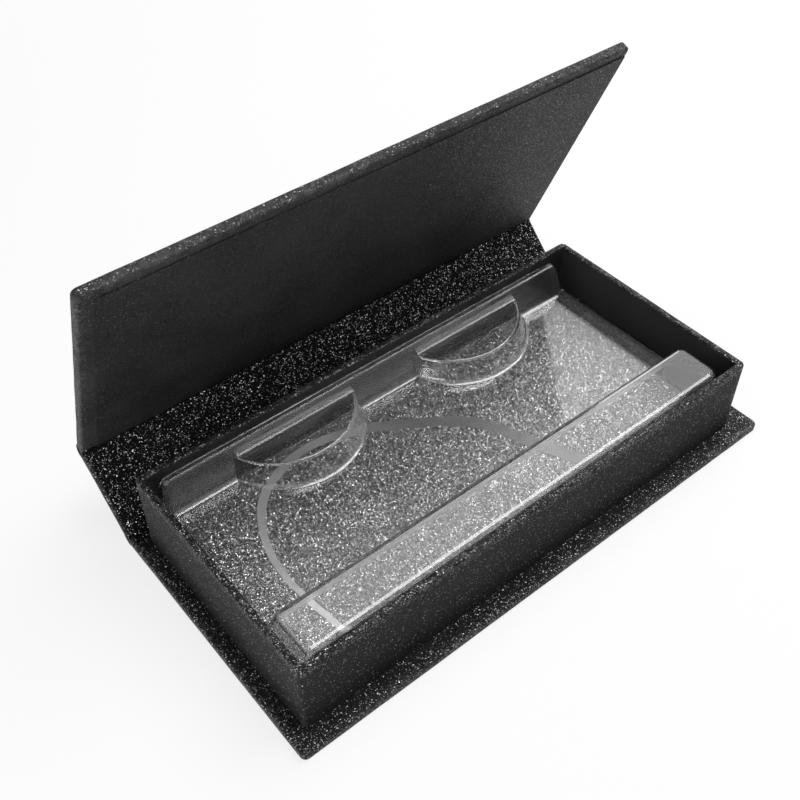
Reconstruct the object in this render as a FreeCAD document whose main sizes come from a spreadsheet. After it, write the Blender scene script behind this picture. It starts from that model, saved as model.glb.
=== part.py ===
"""False eyelash case: three wrapped boards folded like a book, a wrapped tray and a clear lash tray.

Millimetres. X runs along the case from left to right, Y from its open front to the spine, Z up. The
origin is the centre of the base's underside. Lid and spine stand open as in the photograph.
"""
import FreeCAD, Part
import os
import re

import Sketcher
from FreeCAD import Vector

doc = FreeCAD.newDocument("LashCase")
sizes = doc.addObject("Spreadsheet::Sheet", "Sizes")

# Driving sizes: alias, value, meaning
SIZES = [
    ("case_length", 110.0, "length of base, spine and lid along X"),
    ("base_depth", 53.3, "base from its front edge to the fold"),
    ("lid_gap", 0.7, "closed lid's inner face above the tray; it sets the spine's height"),
    ("lid_short", 0.3, "lid's free edge behind the base's front edge when closed"),
    ("panel_board", 1.36, "greyboard of base, spine and lid"),
    ("paper", 0.25, "glitter paper"),
    ("fold_gap", 0.35, "bare gap that each fold leaves at the hinged panel"),
    ("turn_in", 12.0, "width of the wrap turned in over the boards"),
    ("panel_corner", 1.0, "rounding of the free corners of base and lid"),
    ("edge_soft", 0.3, "soft rounding of wrapped edges"),
    ("base_fold_angle", 43.4, "spine turned up from flat, as photographed"),
    ("lid_fold_angle", 68.8, "lid turned in from the spine's plane, as photographed"),
    ("lining_left", 2.8, "lid lining set in from the left edge"),
    ("lining_right", 0.6, "lid lining set in from the right edge"),
    ("lining_free", 2.0, "lid lining set in from the free edge"),
    ("lining_fold", 0.6, "linings set back from a fold"),
    ("ledge_left", 3.0, "base showing to the left of the tray"),
    ("ledge_right", 5.0, "base showing to the right of the tray"),
    ("ledge_front", 3.55, "base showing in front of the tray"),
    ("ledge_back", 2.05, "base between the tray and the fold"),
    ("tray_height", 16.5, "tray above the base"),
    ("tray_corner", 0.95, "rounding of the tray's upright corners"),
    ("wall_board", 0.8, "greyboard of the tray walls"),
    ("floor_board", 1.2, "greyboard of the tray floor"),
    ("pad_height", 3.2, "riser pad on the tray floor"),
    ("pad_gap", 0.2, "riser pad clear of the walls"),
    ("lining_gap", 0.1, "floor lining clear of the walls"),
    ("turn_up", 1.8, "floor lining turned up at the walls"),
    ("card_gauge", 0.35, "silver card thickness"),
    ("card_left", 0.9, "silver card clear of the left wall"),
    ("card_right", 3.5, "silver card clear of the right wall"),
    ("card_front", 0.8, "silver card clear of the front wall"),
    ("card_back", 0.9, "silver card clear of the back wall"),
    ("insert_left", 0.6, "clear tray's foot clear of the left wall"),
    ("insert_right", 2.4, "clear tray's foot clear of the right wall"),
    ("insert_front", 0.5, "clear tray's foot clear of the front wall"),
    ("insert_back", 0.55, "clear tray's foot clear of the back wall"),
    ("insert_sheet", 0.4, "clear sheet thickness"),
    ("insert_floor", 4.15, "clear floor above the card"),
    ("insert_draft", 0.08, "draft of the skirt and of the upright outer faces, per stage"),
    ("insert_drop", 0.95, "back rail and front bar below the tray's top edge"),
    ("rail_top", 1.5, "flat top of the back rail"),
    ("rail_slope", 2.1, "run of the rail's sloping front face"),
    ("bar_top", 9.5, "flat top of the front bar"),
    ("bar_slope", 2.15, "run of the bar's sloping back face"),
    ("end_slope", 1.35, "run of the sloping ends of rail and bar"),
    ("platform_rise", 4.4, "half-moon lash platforms above the clear floor"),
    ("platform_pitch", 41.0, "lash platforms, centre to centre"),
    ("platform_shift", 0.5, "middle of the platform pair from the clear tray centre"),
    ("platform_radius", 14.2, "platform arc at its top"),
    ("platform_flare", 0.8, "growth of the arc's radius towards its foot"),
    ("platform_set", 2.9, "centre of the top arc behind the clear tray's back edge"),
    ("platform_lean", 1.2, "foot arc's centre ahead of the top arc's"),
    ("magnet_radius", 3.5, "closure magnets"),
    ("magnet_gauge", 0.8, "closure magnet thickness"),
    ("magnet_fit", 0.1, "magnet clear of its hole"),
    ("magnet_end", 25.0, "magnets' centres from the ends of the case"),
    ("magnet_inset", 5.5, "lid magnets' centres from the lid's free edge"),
    ("magnet_drop", 4.6, "tray magnets' centres below the tray's top edge"),
]
for row, (alias, value, meaning) in enumerate(SIZES, start=1):
    sizes.set(f"A{row}", meaning)
    sizes.set(f"B{row}", str(value))
    sizes.setAlias(f"B{row}", alias)
doc.recompute()


def q(text):
    """Write the sheet's aliases in an expression in full."""
    names = {alias for alias, _, _ in SIZES}
    return re.sub(r"[a-z_]+", lambda word: f"Sizes.{word[0]}" if word[0] in names else word[0], text)


# Sizes that follow from the driving ones
PANEL = "( panel_board + 2 * paper )"
LID_TURN = "( base_fold_angle + lid_fold_angle )"
WALL = "( wall_board + 2 * paper )"
SPINE_H = "( tray_height + lid_gap )"
LID_DEPTH = "( base_depth - lid_short )"
TRAY_L = "( case_length - ledge_left - ledge_right )"
TRAY_D = "( base_depth - ledge_front - ledge_back )"
TRAY_X = "( ( ledge_left - ledge_right ) / 2 )"
TRAY_Y = "( ( ledge_front - ledge_back ) / 2 )"
ROOM_X = f"( {TRAY_L} - 2 * {WALL} )"
ROOM_Y = f"( {TRAY_D} - 2 * {WALL} )"
BOARD_H = "( tray_height - paper )"
PAD_Z = f"( {PANEL} + floor_board )"
LINING_Z = f"( {PAD_Z} + pad_height )"
CARD_Z = f"( {LINING_Z} + paper )"
FOOT_Z = f"( {CARD_Z} + card_gauge )"
CLEAR_Z = f"( {FOOT_Z} + insert_floor )"
RAIL_RISE = f"( {PANEL} + tray_height - insert_drop - {CLEAR_Z} )"
INSERT_L = f"( {ROOM_X} - insert_left - insert_right )"
INSERT_D = f"( {ROOM_Y} - insert_front - insert_back )"
INSERT_X = f"( {TRAY_X} + ( insert_left - insert_right ) / 2 )"
INSERT_Y = f"( {TRAY_Y} + ( insert_front - insert_back ) / 2 )"

# Where each hinged panel's own axes lie: origin on its fold, Y away from the fold, Z out of its inner face
FRAMES = {
    "base": ("0", "0", "0"),
    "base fold": ("base_depth / 2", PANEL, "0"),
    "spine": ("base_depth / 2", PANEL, "base_fold_angle"),
    "lid": (
        f"base_depth / 2 + {SPINE_H} * cos(base_fold_angle)",
        f"{PANEL} + {SPINE_H} * sin(base_fold_angle)",
        LID_TURN,
    ),
}
FRAMES["lid fold"] = (FRAMES["lid"][0], FRAMES["lid"][1], "base_fold_angle")


def bind(thing, prop, text):
    """Tie a property to the sheet."""
    thing.setExpression(prop, q(text))


def new_body(label, frame):
    """Make an empty body whose placement follows a panel's frame."""
    body = doc.addObject("PartDesign::Body", label)
    body.Label = label
    body.Placement = FreeCAD.Placement(Vector(0, 0, 0), FreeCAD.Rotation(Vector(1, 0, 0), 1))
    y, z, turn = FRAMES[frame]
    bind(body, "Placement.Base.y", y)
    bind(body, "Placement.Base.z", z)
    bind(body, "Placement.Rotation.Angle", turn)
    return body


def new_sketch(body, role, at):
    """Attach a sketch to one of the body's own planes, moved by three expressions in its own axes."""
    sketch = body.newObject("Sketcher::SketchObject", body.Name + "_sketch")
    plane = next(f for f in body.Origin.OriginFeatures if f.Role == role)
    sketch.AttachmentSupport = (plane, [""])
    sketch.MapMode = "FlatFace"
    for axis, text in zip("xyz", at):
        bind(sketch, f"AttachmentOffset.Base.{axis}", text)
    return sketch


def draw_rectangle(sketch, width, depth):
    """Draw a rectangle centred on the sketch's origin."""
    corners = [Vector(-5, -4, 0), Vector(5, -4, 0), Vector(5, 4, 0), Vector(-5, 4, 0)]
    for i in range(4):
        sketch.addGeometry(Part.LineSegment(corners[i], corners[(i + 1) % 4]), False)
    for i in range(4):
        sketch.addConstraint(Sketcher.Constraint("Coincident", i, 2, (i + 1) % 4, 1))
    sketch.addConstraint(Sketcher.Constraint("Horizontal", 0))
    sketch.addConstraint(Sketcher.Constraint("Vertical", 1))
    sketch.addConstraint(Sketcher.Constraint("Horizontal", 2))
    sketch.addConstraint(Sketcher.Constraint("Vertical", 3))
    sketch.addConstraint(Sketcher.Constraint("Symmetric", 0, 1, 1, 2, -1, 1))
    for name, kind, line, text in (("Width", "DistanceX", 0, width), ("Depth", "DistanceY", 1, depth)):
        index = sketch.addConstraint(Sketcher.Constraint(kind, line, 1, line, 2, 8.0))
        sketch.renameConstraint(index, name)
        bind(sketch, f"Constraints.{name}", text)


def draw_circle(sketch, x, radius):
    """Draw a circle on the sketch's X axis, to the right or the left of its origin."""
    side = -1 if x.startswith("-") else 1
    index = sketch.addGeometry(Part.Circle(Vector(side * 20, 0, 0), Vector(0, 0, 1), 3), False)
    ring = sketch.addConstraint(Sketcher.Constraint("Radius", index, 3.0))
    sketch.renameConstraint(ring, f"Radius{index}")
    bind(sketch, f"Constraints.Radius{index}", radius)
    if x == "0":
        sketch.addConstraint(Sketcher.Constraint("Coincident", index, 3, -1, 1))
        return
    sketch.addConstraint(Sketcher.Constraint("PointOnObject", index, 3, -1))
    ends = (-1, 1, index, 3) if side > 0 else (index, 3, -1, 1)
    place = sketch.addConstraint(Sketcher.Constraint("DistanceX", *ends, 20.0))
    sketch.renameConstraint(place, f"Place{index}")
    bind(sketch, f"Constraints.Place{index}", x.lstrip("- "))


def pad(body, sketch, length):
    """Raise a sketch into a solid."""
    feature = body.newObject("PartDesign::Pad", body.Name + "_pad")
    feature.Profile = sketch
    bind(feature, "Length", length)
    sketch.Visibility = False
    doc.recompute()
    return feature


def round_edges(body, radius, wanted):
    """Round the edges of the body's last feature that a test picks."""
    base = body.Tip
    box = base.Shape.BoundBox
    names = [f"Edge{i}" for i, edge in enumerate(base.Shape.Edges, start=1) if wanted(edge, box)]
    feature = body.newObject("PartDesign::Fillet", body.Name + "_round")
    feature.Base = (base, names)
    bind(feature, "Radius", radius)
    doc.recompute()
    return feature


def upright(edge):
    """Tell whether an edge runs along Z."""
    first, last = edge.Vertexes[0].Point, edge.Vertexes[-1].Point
    return abs(first.x - last.x) < 1e-6 and abs(first.y - last.y) < 1e-6 and abs(first.z - last.z) > 1e-6


def on_y(edge, y):
    """Tell whether an edge lies in the plane at y."""
    return all(abs(v.Y - y) < 1e-6 for v in edge.Vertexes)


def flat_edge(edge, box):
    """Tell whether an edge lies in the top or the bottom face."""
    return any(all(abs(v.Z - z) < 1e-6 for v in edge.Vertexes) for z in (box.ZMin, box.ZMax))


def plate(label, frame, size, at):
    """Make a rectangular plate; at is the middle of its lower face."""
    body = new_body(label, frame)
    sketch = new_sketch(body, "XY_Plane", at)
    draw_rectangle(sketch, size[0], size[1])
    pad(body, sketch, size[2])
    return body


def cut(label, base, tools):
    """Take other objects' shapes away from a base object."""
    for i, tool in enumerate(tools, start=1):
        result = doc.addObject("Part::Cut", label if i == len(tools) else f"{label}_step{i}")
        result.Base, result.Tool = base, tool
        base = result
    base.Label = label
    doc.recompute()
    return base


def fuse(label, shapes):
    """Join several objects' shapes into one."""
    result = doc.addObject("Part::MultiFuse", label)
    result.Label = label
    result.Shapes = shapes
    result.Refine = True
    doc.recompute()
    return result


def fold(label, frame, angle):
    """Make the bend of outer paper round a fold: a strip turned about the fold's axis."""
    body = new_body(label, frame)
    sketch = new_sketch(body, "XZ_Plane", ("0", f"paper / 2 - {PANEL}", "0"))
    draw_rectangle(sketch, "case_length", "paper")
    turn = body.newObject("PartDesign::Revolution", label + "_turn")
    turn.Profile = sketch
    turn.ReferenceAxis = (next(f for f in body.Origin.OriginFeatures if f.Role == "X_Axis"), [""])
    bind(turn, "Angle", angle)
    doc.recompute()
    return body


# Base: a board in a paper sleeve that is open at the fold
base_board = plate(
    "base_board", "base", ("case_length - 2 * paper", "base_depth - paper", "panel_board"),
    ("0", "paper / 2", "paper"),
)
round_edges(base_board, "panel_corner - paper", lambda e, b: upright(e) and on_y(e, b.YMin))
base_block = plate("base_block", "base", ("case_length", "base_depth", PANEL), ("0", "0", "0"))
round_edges(base_block, "panel_corner", lambda e, b: upright(e) and on_y(e, b.YMin))
round_edges(base_block, "edge_soft", lambda e, b: flat_edge(e, b) and not on_y(e, b.YMax))
base_wrap = cut("base_wrap", base_block, [base_board])

# Spine: board, wrap turned in at both ends, lining between the folds
SPINE_D, SPINE_MID = f"( {SPINE_H} - fold_gap )", f"( {SPINE_H} + fold_gap ) / 2"
WINDOW_X = "( case_length - 2 * turn_in )"
spine_board = plate(
    "spine_board", "spine", ("case_length - 2 * paper", SPINE_D, "panel_board"),
    ("0", SPINE_MID, f"paper - {PANEL}"),
)
spine_block = plate("spine_block", "spine", ("case_length", SPINE_D, PANEL), ("0", SPINE_MID, f"- {PANEL}"))
round_edges(
    spine_block, "edge_soft", lambda e, b: flat_edge(e, b) and not (on_y(e, b.YMin) or on_y(e, b.YMax))
)
spine_window = plate("spine_window", "spine", (WINDOW_X, SPINE_D, "paper"), ("0", SPINE_MID, "- paper"))
spine_wrap = cut("spine_wrap", spine_block, [spine_board, spine_window])
spine_sheet = plate(
    "spine_sheet", "spine", ("case_length - 2 * lining_right", f"{SPINE_D} - 2 * lining_fold", "paper"),
    ("0", SPINE_MID, "0"),
)
spine_lining = fuse("spine_lining", [spine_sheet, spine_window])

# Lid: board with two magnet pockets, wrap turned in on three edges, lining off centre as photographed
LID_D, LID_MID = f"( {LID_DEPTH} - fold_gap )", f"( {LID_DEPTH} + fold_gap ) / 2"
MAGNET_X, MAGNET_Y = "( case_length / 2 - magnet_end )", f"{LID_DEPTH} - magnet_inset"
lid_board = plate(
    "lid_board", "lid", ("case_length - 2 * paper", f"{LID_D} - paper", "panel_board"),
    ("0", f"( {LID_MID} ) - paper / 2", f"paper - {PANEL}"),
)
round_edges(lid_board, "panel_corner - paper", lambda e, b: upright(e) and on_y(e, b.YMax))
pockets = new_sketch(lid_board, "XY_Plane", ("0", MAGNET_Y, "- paper"))
draw_circle(pockets, MAGNET_X, "magnet_radius + magnet_fit")
draw_circle(pockets, f"- {MAGNET_X}", "magnet_radius + magnet_fit")
before = lid_board.Shape.Volume
holes = lid_board.newObject("PartDesign::Pocket", "lid_board_pockets")
holes.Profile = pockets
bind(holes, "Length", "magnet_gauge")
doc.recompute()
assert lid_board.Shape.Volume < before - 1, "the magnet pockets cut nothing"
lid_block = plate("lid_block", "lid", ("case_length", LID_D, PANEL), ("0", LID_MID, f"- {PANEL}"))
round_edges(lid_block, "panel_corner", lambda e, b: upright(e) and on_y(e, b.YMax))
round_edges(lid_block, "edge_soft", lambda e, b: flat_edge(e, b) and not on_y(e, b.YMin))
lid_solid_board = plate(
    "lid_solid_board", "lid", ("case_length - 2 * paper", f"{LID_D} - paper", "panel_board"),
    ("0", f"( {LID_MID} ) - paper / 2", f"paper - {PANEL}"),
)
round_edges(lid_solid_board, "panel_corner - paper", lambda e, b: upright(e) and on_y(e, b.YMax))
WINDOW_D = f"( {LID_DEPTH} - turn_in - fold_gap )"
lid_window = plate(
    "lid_window", "lid", (WINDOW_X, WINDOW_D, "paper"), ("0", f"fold_gap + {WINDOW_D} / 2", "- paper")
)
lid_wrap = cut("lid_wrap", lid_block, [lid_solid_board, lid_window])
LINING_D = f"( {LID_DEPTH} - lining_free - fold_gap - lining_fold )"
lid_sheet = plate(
    "lid_sheet", "lid", ("case_length - lining_left - lining_right", LINING_D, "paper"),
    ("( lining_left - lining_right ) / 2", f"fold_gap + lining_fold + {LINING_D} / 2", "0"),
)
lid_lining = fuse("lid_lining", [lid_sheet, lid_window])
lid_magnets = []
for side, x in (("left", f"- {MAGNET_X}"), ("right", MAGNET_X)):
    magnet = new_body(f"lid_magnet_{side}", "lid")
    disc = new_sketch(magnet, "XY_Plane", (x, MAGNET_Y, "- paper - magnet_gauge"))
    draw_circle(disc, "0", "magnet_radius")
    pad(magnet, disc, "magnet_gauge")
    lid_magnets.append(magnet)

# Paper bends on the outer side of the two folds
base_fold = fold("base_fold", "base fold", "base_fold_angle")
lid_fold = fold("lid_fold", "lid fold", "lid_fold_angle")

# Tray: four wall boards, one wrap over outside, top edge and inside, floor board, pad and floor lining
WALL_X = f"( {TRAY_L} - 2 * paper )"
WALL_Y = f"( {TRAY_D} - 2 * paper - 2 * wall_board )"
SIDE_X = f"( {TRAY_L} / 2 - paper - wall_board / 2 )"
SIDE_Y = f"( {TRAY_D} / 2 - paper - wall_board / 2 )"
front_plate = plate(
    "front_plate", "base", (WALL_X, "wall_board", BOARD_H), (TRAY_X, f"{TRAY_Y} - {SIDE_Y}", PANEL)
)
round_edges(front_plate, "tray_corner - paper", lambda e, b: upright(e) and on_y(e, b.YMin))
back_wall = plate(
    "tray_back_wall", "base", (WALL_X, "wall_board", BOARD_H), (TRAY_X, f"{TRAY_Y} + {SIDE_Y}", PANEL)
)
round_edges(back_wall, "tray_corner - paper", lambda e, b: upright(e) and on_y(e, b.YMax))
left_wall = plate(
    "tray_left_wall", "base", ("wall_board", WALL_Y, BOARD_H), (f"{TRAY_X} - {SIDE_X}", TRAY_Y, PANEL)
)
right_wall = plate(
    "tray_right_wall", "base", ("wall_board", WALL_Y, BOARD_H), (f"{TRAY_X} + {SIDE_X}", TRAY_Y, PANEL)
)
tray_block = plate("tray_block", "base", (TRAY_L, TRAY_D, "tray_height"), (TRAY_X, TRAY_Y, PANEL))
round_edges(tray_block, "tray_corner", lambda e, b: upright(e))
round_edges(tray_block, "edge_soft", lambda e, b: all(abs(v.Z - b.ZMax) < 1e-6 for v in e.Vertexes))
tray_room = plate("tray_room", "base", (ROOM_X, ROOM_Y, "tray_height"), (TRAY_X, TRAY_Y, PANEL))
tray_boards = fuse("tray_boards", [front_plate, back_wall, left_wall, right_wall])
tray_wrap = cut("tray_wrap", tray_block, [tray_room, tray_boards])
floor_board = plate("tray_floor_board", "base", (ROOM_X, ROOM_Y, "floor_board"), (TRAY_X, TRAY_Y, PANEL))
pad_plate = plate(
    "tray_pad", "base", (f"{ROOM_X} - 2 * pad_gap", f"{ROOM_Y} - 2 * pad_gap", "pad_height"),
    (TRAY_X, TRAY_Y, PAD_Z),
)
lining_block = plate(
    "lining_block", "base", (f"{ROOM_X} - 2 * lining_gap", f"{ROOM_Y} - 2 * lining_gap", "paper + turn_up"),
    (TRAY_X, TRAY_Y, LINING_Z),
)
lining_room = plate(
    "lining_room", "base",
    (f"{ROOM_X} - 2 * lining_gap - 2 * paper", f"{ROOM_Y} - 2 * lining_gap - 2 * paper", "turn_up"),
    (TRAY_X, TRAY_Y, CARD_Z),
)
floor_lining = cut("tray_floor_lining", lining_block, [lining_room])
glitter_card = plate(
    "glitter_card", "base",
    (f"{ROOM_X} - card_left - card_right", f"{ROOM_Y} - card_front - card_back", "card_gauge"),
    (f"{TRAY_X} + ( card_left - card_right ) / 2", f"{TRAY_Y} + ( card_front - card_back ) / 2", CARD_Z),
)

# Closure magnets in the tray's front wall
tray_magnets, magnet_holes = [], []
for side, sign in (("left", "-"), ("right", "+")):
    for label, radius, bucket in (
        (f"tray_magnet_{side}", "magnet_radius", tray_magnets),
        (f"tray_magnet_hole_{side}", "magnet_radius + magnet_fit", magnet_holes),
    ):
        disc = doc.addObject("Part::Cylinder", label)
        disc.Label = label
        disc.Placement = FreeCAD.Placement(Vector(0, 0, 0), FreeCAD.Rotation(Vector(1, 0, 0), -90))
        bind(disc, "Radius", radius)
        bind(disc, "Height", "wall_board")
        bind(disc, "Placement.Base.x", f"0 {sign} {MAGNET_X}")
        bind(disc, "Placement.Base.y", f"{TRAY_Y} - {TRAY_D} / 2 + paper")
        bind(disc, "Placement.Base.z", f"{PANEL} + tray_height - magnet_drop")
        bucket.append(disc)
doc.recompute()
front_wall = cut("tray_front_wall", front_plate, magnet_holes)


def frustum(name, foot, top):
    """Make a block with a foot and a smaller top, each given as x0, x1, y0, y1, z."""
    block = doc.addObject("Part::Wedge", name)
    block.Placement = FreeCAD.Placement(Vector(0, 0, 0), FreeCAD.Rotation(Vector(1, 0, 0), 90))
    x0, x1, y0, y1, z0 = foot
    a0, a1, b0, b1, z1 = top
    for prop, text in (
        ("Xmin", x0), ("Xmax", x1), ("Zmin", f"- ( {y1} )"), ("Zmax", f"- ( {y0} )"), ("Ymin", z0),
        ("X2min", a0), ("X2max", a1), ("Z2min", f"- ( {b1} )"), ("Z2max", f"- ( {b0} )"), ("Ymax", z1),
    ):
        bind(block, prop, text)
    return block


def half_moon(name, x, back, skin, sink):
    """Make one lash platform: a flaring drum cut off inside the back rail."""
    rings = []
    for level, radius, ahead, z in (
        ("foot", "platform_radius + platform_flare", "platform_lean", f"{CLEAR_Z} - {sink}"),
        ("head", "platform_radius", "0", f"{CLEAR_Z} + platform_rise - {skin}"),
    ):
        ring = doc.addObject("Part::Circle", f"{name}_{level}")
        bind(ring, "Radius", f"{radius} - {skin}")
        bind(ring, "Placement.Base.x", x)
        bind(ring, "Placement.Base.y", f"{back} + platform_set - {ahead}")
        bind(ring, "Placement.Base.z", z)
        rings.append(ring)
    drum = doc.addObject("Part::Loft", f"{name}_drum")
    drum.Sections, drum.Solid, drum.Ruled = rings, True, True
    keep = doc.addObject("Part::Box", f"{name}_keep")
    bind(keep, "Length", "2 * platform_radius + 4 * platform_flare")
    bind(keep, "Width", "2 * platform_radius")
    bind(keep, "Height", "4 * insert_floor + 4 * platform_rise")
    bind(keep, "Placement.Base.x", f"{x} - platform_radius - 2 * platform_flare")
    bind(keep, "Placement.Base.y", f"{back} - 2 * insert_draft - insert_sheet - {skin} - 2 * platform_radius")
    bind(keep, "Placement.Base.z", f"{CLEAR_Z} - 2 * insert_floor")
    moon = doc.addObject("Part::Common", name)
    moon.Base, moon.Tool = drum, keep
    return moon


def insert_solid(name, skin, sink):
    """Make the clear tray's outer form, or with a skin its inner one; sink lowers the foot to cut through."""
    left, right = f"{INSERT_X} - {INSERT_L} / 2 + {skin}", f"{INSERT_X} + {INSERT_L} / 2 - {skin}"
    front, back = f"{INSERT_Y} - {INSERT_D} / 2 + {skin}", f"{INSERT_Y} + {INSERT_D} / 2 - {skin}"
    step = "insert_draft"
    low = f"{CLEAR_Z} - {sink}"
    high = f"{CLEAR_Z} + {RAIL_RISE} - {skin}"
    ends = (f"{left} + {step}", f"{right} - {step}")
    floor = frustum(
        f"{name}_floor", (left, right, front, back, f"{FOOT_Z} - {sink}"),
        (*ends, f"{front} + {step}", f"{back} - {step}", f"{CLEAR_Z} - {skin}"),
    )
    tips = (f"{left} + {step} + end_slope", f"{right} - {step} - end_slope")
    rail_front = f"{back} - 2 * {step} - rail_top + 2 * {skin}"
    rail = frustum(
        f"{name}_rail", (*ends, f"{rail_front} - rail_slope", f"{back} - {step}", low),
        (*tips, rail_front, f"{back} - 2 * {step}", high),
    )
    bar_back = f"{front} + 2 * {step} + bar_top - 2 * {skin}"
    bar = frustum(
        f"{name}_bar", (*ends, f"{front} + {step}", f"{bar_back} + bar_slope", low),
        (*tips, f"{front} + 2 * {step}", bar_back, high),
    )
    true_back = f"{INSERT_Y} + {INSERT_D} / 2"
    moons = []
    for side, sign in (("left", "-"), ("right", "+")):
        middle = f"{INSERT_X} + platform_shift {sign} platform_pitch / 2"
        moons.append(half_moon(f"{name}_moon_{side}", middle, true_back, skin, sink))
    doc.recompute()
    return fuse(name, [floor, rail, bar, *moons])


# Clear lash tray: one formed sheet with skirt, floor, back rail, front bar and two lash platforms
outer_form = insert_solid("insert_outer", "0", "0")
inner_form = insert_solid("insert_inner", "insert_sheet", "2 * insert_sheet")
lash_tray = cut("lash_tray", outer_form, [inner_form])

NODES = [
    base_board, base_wrap, base_fold, spine_board, spine_wrap, spine_lining, lid_fold, lid_board, lid_wrap,
    lid_lining, *lid_magnets, front_wall, back_wall, left_wall, right_wall, tray_wrap, floor_board, pad_plate,
    floor_lining, glitter_card, *tray_magnets, lash_tray,
]

doc.recompute()
for thing in doc.Objects:
    if {"Invalid", "Error"} & set(thing.State):
        raise RuntimeError(f"{thing.Label} failed: {thing.State}")
for node in NODES:
    shape = node.Shape
    if shape.isNull() or not shape.isValid() or len(shape.Solids) != 1:
        raise RuntimeError(f"{node.Label} has no valid single solid")

os.makedirs("parts", exist_ok=True)
for node in NODES:
    node.Shape.exportStep(f"parts/{node.Label}.step")
    box = node.Shape.BoundBox
    print(f"{node.Label}: {node.Shape.Volume:.1f} mm3, X {box.XMin:.2f} to {box.XMax:.2f}, "
          f"Y {box.YMin:.2f} to {box.YMax:.2f}, Z {box.ZMin:.2f} to {box.ZMax:.2f}")
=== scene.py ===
"""Looks of a book-style false eyelash case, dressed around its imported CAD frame.

Everything is in metres in the frame of the CAD model: X along the case, Y from its open front to the
spine, Z up. Sizes are written in millimetres and scaled once, where a mesh is made.
"""
import logging
import math
from collections.abc import Callable, Sequence
from dataclasses import dataclass, field
from enum import Enum

import bmesh
import bpy
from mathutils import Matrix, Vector, noise


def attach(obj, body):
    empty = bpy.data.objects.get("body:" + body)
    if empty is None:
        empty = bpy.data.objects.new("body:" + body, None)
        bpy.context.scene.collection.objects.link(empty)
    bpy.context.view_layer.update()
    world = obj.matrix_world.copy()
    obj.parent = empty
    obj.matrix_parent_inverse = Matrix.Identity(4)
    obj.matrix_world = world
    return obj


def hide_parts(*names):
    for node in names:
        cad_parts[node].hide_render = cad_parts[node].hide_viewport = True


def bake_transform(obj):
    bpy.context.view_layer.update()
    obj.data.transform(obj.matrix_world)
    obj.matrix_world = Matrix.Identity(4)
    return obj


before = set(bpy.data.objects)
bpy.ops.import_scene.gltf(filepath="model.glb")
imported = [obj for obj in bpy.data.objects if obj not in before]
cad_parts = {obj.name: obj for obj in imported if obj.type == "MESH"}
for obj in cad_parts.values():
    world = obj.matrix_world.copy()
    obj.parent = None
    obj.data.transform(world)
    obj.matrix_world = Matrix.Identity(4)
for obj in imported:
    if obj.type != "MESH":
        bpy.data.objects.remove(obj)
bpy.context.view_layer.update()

MM = 0.001
LOG = logging.getLogger("lash_case")

Point = tuple[float, float, float]
Place = Callable[[float, float, float], Point]
Socket = bpy.types.NodeSocket


class Body(Enum):
    """Rigid bodies of the case."""

    BASE = "base"
    SPINE = "spine"
    LID = "lid"


class Slot(Enum):
    """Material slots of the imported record."""

    PAPER = "black_glitter_paper"
    CARD = "silver_glitter_card"
    CLEAR = "clear_plastic"


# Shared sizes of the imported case, in millimetres
CASE_LENGTH = 110.0
PAPER = 0.25
PANEL = 1.86
BASE_DEPTH = 53.3
SPINE_HEIGHT = 17.2
LID_DEPTH = 53.0
FOLD_GAP = 0.35
# How near to a fold a point of the paper counts as lying on it
SLACK = 0.01
SPINE_TURN = math.radians(43.4)
LID_TURN = math.radians(68.8)
FOLD_Y, FOLD_Z = BASE_DEPTH / 2, PANEL
LID_FOLD_Y = FOLD_Y + SPINE_HEIGHT * math.cos(SPINE_TURN)
LID_FOLD_Z = FOLD_Z + SPINE_HEIGHT * math.sin(SPINE_TURN)


def panel_place(fold_y: float, fold_z: float, turn: float) -> Place:
    """Give the map from a hinged panel's own axes to the row frame.

    Args:
        fold_y: The fold's Y.
        fold_z: The fold's Z.
        turn: How far the panel is turned up from flat, in radians.

    Returns:
        A function of x, distance from the fold and height over the inner face.
    """
    c, s = math.cos(turn), math.sin(turn)

    def place(x: float, u: float, w: float) -> Point:
        """Map one point."""
        return x, fold_y + u * c - w * s, fold_z + u * s + w * c

    return place


def base_place(x: float, u: float, w: float) -> Point:
    """Map a point of the base panel, whose free edge is the case's front."""
    return x, FOLD_Y - u, PANEL + w


SPINE_PLACE = panel_place(FOLD_Y, FOLD_Z, SPINE_TURN)
LID_PLACE = panel_place(LID_FOLD_Y, LID_FOLD_Z, SPINE_TURN + LID_TURN)


def add_object(name: str, data: bpy.types.ID) -> bpy.types.Object:
    """Put new data into the scene as an object."""
    obj = bpy.data.objects.new(name, data)
    bpy.context.scene.collection.objects.link(obj)
    return obj


def make_object(name: str, points: Sequence[Point], faces: Sequence[Sequence[int]]) -> bpy.types.Object:
    """Make a mesh object in the scene.

    Args:
        name: The piece's name.
        points: Its corners in millimetres.
        faces: Its faces as lists of corner numbers.

    Returns:
        The new object.
    """
    mesh = bpy.data.meshes.new(name)
    mesh.from_pydata([tuple(c * MM for c in p) for p in points], [], [list(f) for f in faces])
    return add_object(name, mesh)


def ring_quads(rings: int, size: int) -> list[tuple[int, ...]]:
    """Join closed rings of corners, each to the next, with a band of quads.

    Args:
        rings: How many rings there are, numbered one after the other.
        size: How many corners each ring has.

    Returns:
        The faces.
    """
    return [
        (k + i, k + (i + 1) % size, k + size + (i + 1) % size, k + size + i)
        for k in range(0, (rings - 1) * size, size)
        for i in range(size)
    ]


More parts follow.
